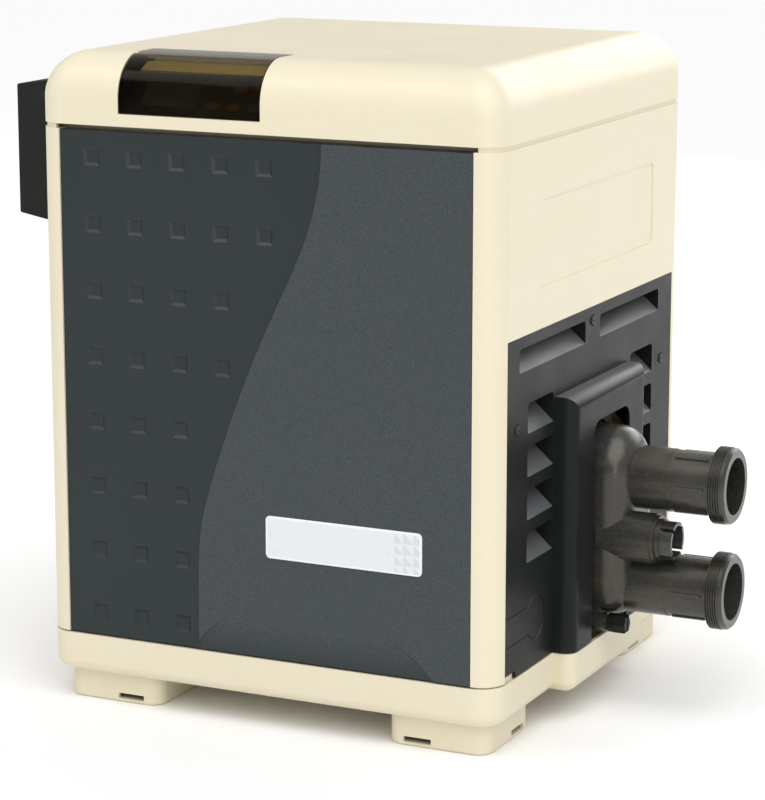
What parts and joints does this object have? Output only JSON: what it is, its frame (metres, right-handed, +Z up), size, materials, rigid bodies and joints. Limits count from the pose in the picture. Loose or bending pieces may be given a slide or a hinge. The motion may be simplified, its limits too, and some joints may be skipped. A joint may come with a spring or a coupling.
{
  "type": "pool heater",
  "caption": "Gas-fired pool and spa heater: square cream cabinet on feet, dark louvred side panel, twin threaded water ports, side flue hood, flip-up smoked control cover.",
  "frame": {"origin": "on the floor, under the centre of the square cabinet", "axes": "+Z up, -Y is the front door, +X is the side with the water ports"},
  "size_m": [0.805, 0.5271, 0.697],
  "materials": {
    "cream_plastic": "satin moulded",
    "door_plastic": "fine grained, smooth left zone",
    "panel_plastic": "fine texture",
    "hood_plastic": "speckled texture",
    "smoked_window": "smoked, glossy",
    "badge_plate": "silver white label plate",
    "glass_filled": "glass-filled, mottled sheen",
    "black_plastic": "moulded",
    "button_plastic": "warm grey rubberised",
    "clear_lens": "display lens",
    "circuit_board": "solder mask",
    "steel": "plated",
    "black_screw": "black-coated screws",
    "galvanised": "galvanised sheet",
    "copper": "copper tube",
    "brass": "turned",
    "cast_aluminium": "cast",
    "cast_iron": "cast",
    "insulation": "ceramic fibre blanket",
    "seal_rubber": "moulded",
    "gas_black_steel": "black steel pipe",
    "red_plastic": "moulded"
  },
  "bodies": {
    "cabinet": {"air_flow_switch": "black_plastic", "air_gas_mixer": "black_plastic", "base_feet": "cream_plastic", "base_pan": "cream_plastic", "blower_housing": "cast_aluminium", "blower_motor": "black_plastic", "burner": "steel", "bypass_cap": "glass_filled", "bypass_spring": "steel", "coil_tubes": "copper", "combustion_tub": "galvanised", "conduit_gland": "black_plastic", "electrics_panel": "galvanised", "exhaust_hood": "hood_plastic", "flue_duct": "galvanised", "gas_grommet": "seal_rubber", "gas_inlet": "gas_black_steel", "gas_pipe": "steel", "gas_valve": "cast_aluminium", "hood_screws": "black_screw", "igniter": "steel", "ignition_module": "black_plastic", "inlet_nipple": "glass_filled", "junction_box": "galvanised", "manifold": "glass_filled", "manifold_bolts": "steel", "outlet_nipple": "glass_filled", "pressure_switch": "brass", "rear_panel": "cream_plastic", "side_panel_left": "cream_plastic", "side_panel_right": "cream_plastic", "top_frame": "cream_plastic", "transformer": "cast_iron", "tub_insulation": "insulation", "tub_lid": "galvanised", "water_header": "cast_iron", "water_seals": "seal_rubber"},
    "lid": {"lid": "cream_plastic", "control_bezel": "black_plastic", "display_lens": "clear_lens", "control_board": "circuit_board", "window_hinge_pin": "steel"},
    "window": {"display_window": "smoked_window"},
    "door": {"front_door": "door_plastic", "door_badge": "badge_plate"},
    "vent_panel": {"side_vent_panel": "panel_plastic", "vent_panel_screws": "black_screw"},
    "impeller": {"blower_impeller": "galvanised"},
    "gas_knob": {"gas_valve_knob": "red_plastic"},
    "drain_plug": {"drain_plug": "black_plastic"},
    "bypass_valve": {"bypass_poppet": "black_plastic"},
    "button_pool": {"button_pool": "button_plastic"},
    "button_spa": {"button_spa": "button_plastic"},
    "button_off": {"button_off": "button_plastic"},
    "button_down": {"button_down": "button_plastic"},
    "button_up": {"button_up": "button_plastic"}
  },
  "joints": [
    {"name": "lid_lift", "type": "slide", "parent": "cabinet", "child": "lid", "axis": [0, 0, 1], "range_m": [0, 0.08]},
    {"name": "window_flip", "type": "hinge", "parent": "lid", "child": "window", "pos_m": [-0.081, -0.19, 0.693], "axis": [-1, 0, 0], "range_deg": [0, 95]},
    {"name": "door_remove", "type": "slide", "parent": "cabinet", "child": "door", "axis": [0, -1, 0], "range_m": [0, 0.05]},
    {"name": "vent_panel_remove", "type": "slide", "parent": "cabinet", "child": "vent_panel", "axis": [1, 0, 0], "range_m": [0, 0.2]},
    {"name": "blower_spin", "type": "hinge", "parent": "cabinet", "child": "impeller", "pos_m": [0.062, 0.088, 0.502], "axis": [0, 0, 1], "continuous": true},
    {"name": "gas_knob_turn", "type": "hinge", "parent": "cabinet", "child": "gas_knob", "pos_m": [-0.205, -0.196, 0.3], "axis": [0, -1, 0], "range_deg": [0, 90]},
    {"name": "drain_plug_turn", "type": "hinge", "parent": "cabinet", "child": "drain_plug", "pos_m": [0.298, -0.036, 0.0935], "axis": [1, 0, 0], "continuous": true},
    {"name": "bypass_open", "type": "slide", "parent": "cabinet", "child": "bypass_valve", "axis": [1, 0, 0], "range_m": [0, 0.008], "stiffness_N_per_m": 400, "deforming": ["bypass_spring"]},
    {"name": "button_pool_press", "type": "slide", "parent": "lid", "child": "button_pool", "axis": [0, 0.7431, -0.6691], "range_m": [0, 0.001], "stiffness_N_per_m": 900},
    {"name": "button_spa_press", "type": "slide", "parent": "lid", "child": "button_spa", "axis": [0, 0.7431, -0.6691], "range_m": [0, 0.001], "stiffness_N_per_m": 900},
    {"name": "button_off_press", "type": "slide", "parent": "lid", "child": "button_off", "axis": [0, 0.7431, -0.6691], "range_m": [0, 0.001], "stiffness_N_per_m": 900},
    {"name": "button_down_press", "type": "slide", "parent": "lid", "child": "button_down", "axis": [0, 0.7431, -0.6691], "range_m": [0, 0.001], "stiffness_N_per_m": 900},
    {"name": "button_up_press", "type": "slide", "parent": "lid", "child": "button_up", "axis": [0, 0.7431, -0.6691], "range_m": [0, 0.001], "stiffness_N_per_m": 900}
  ]
}
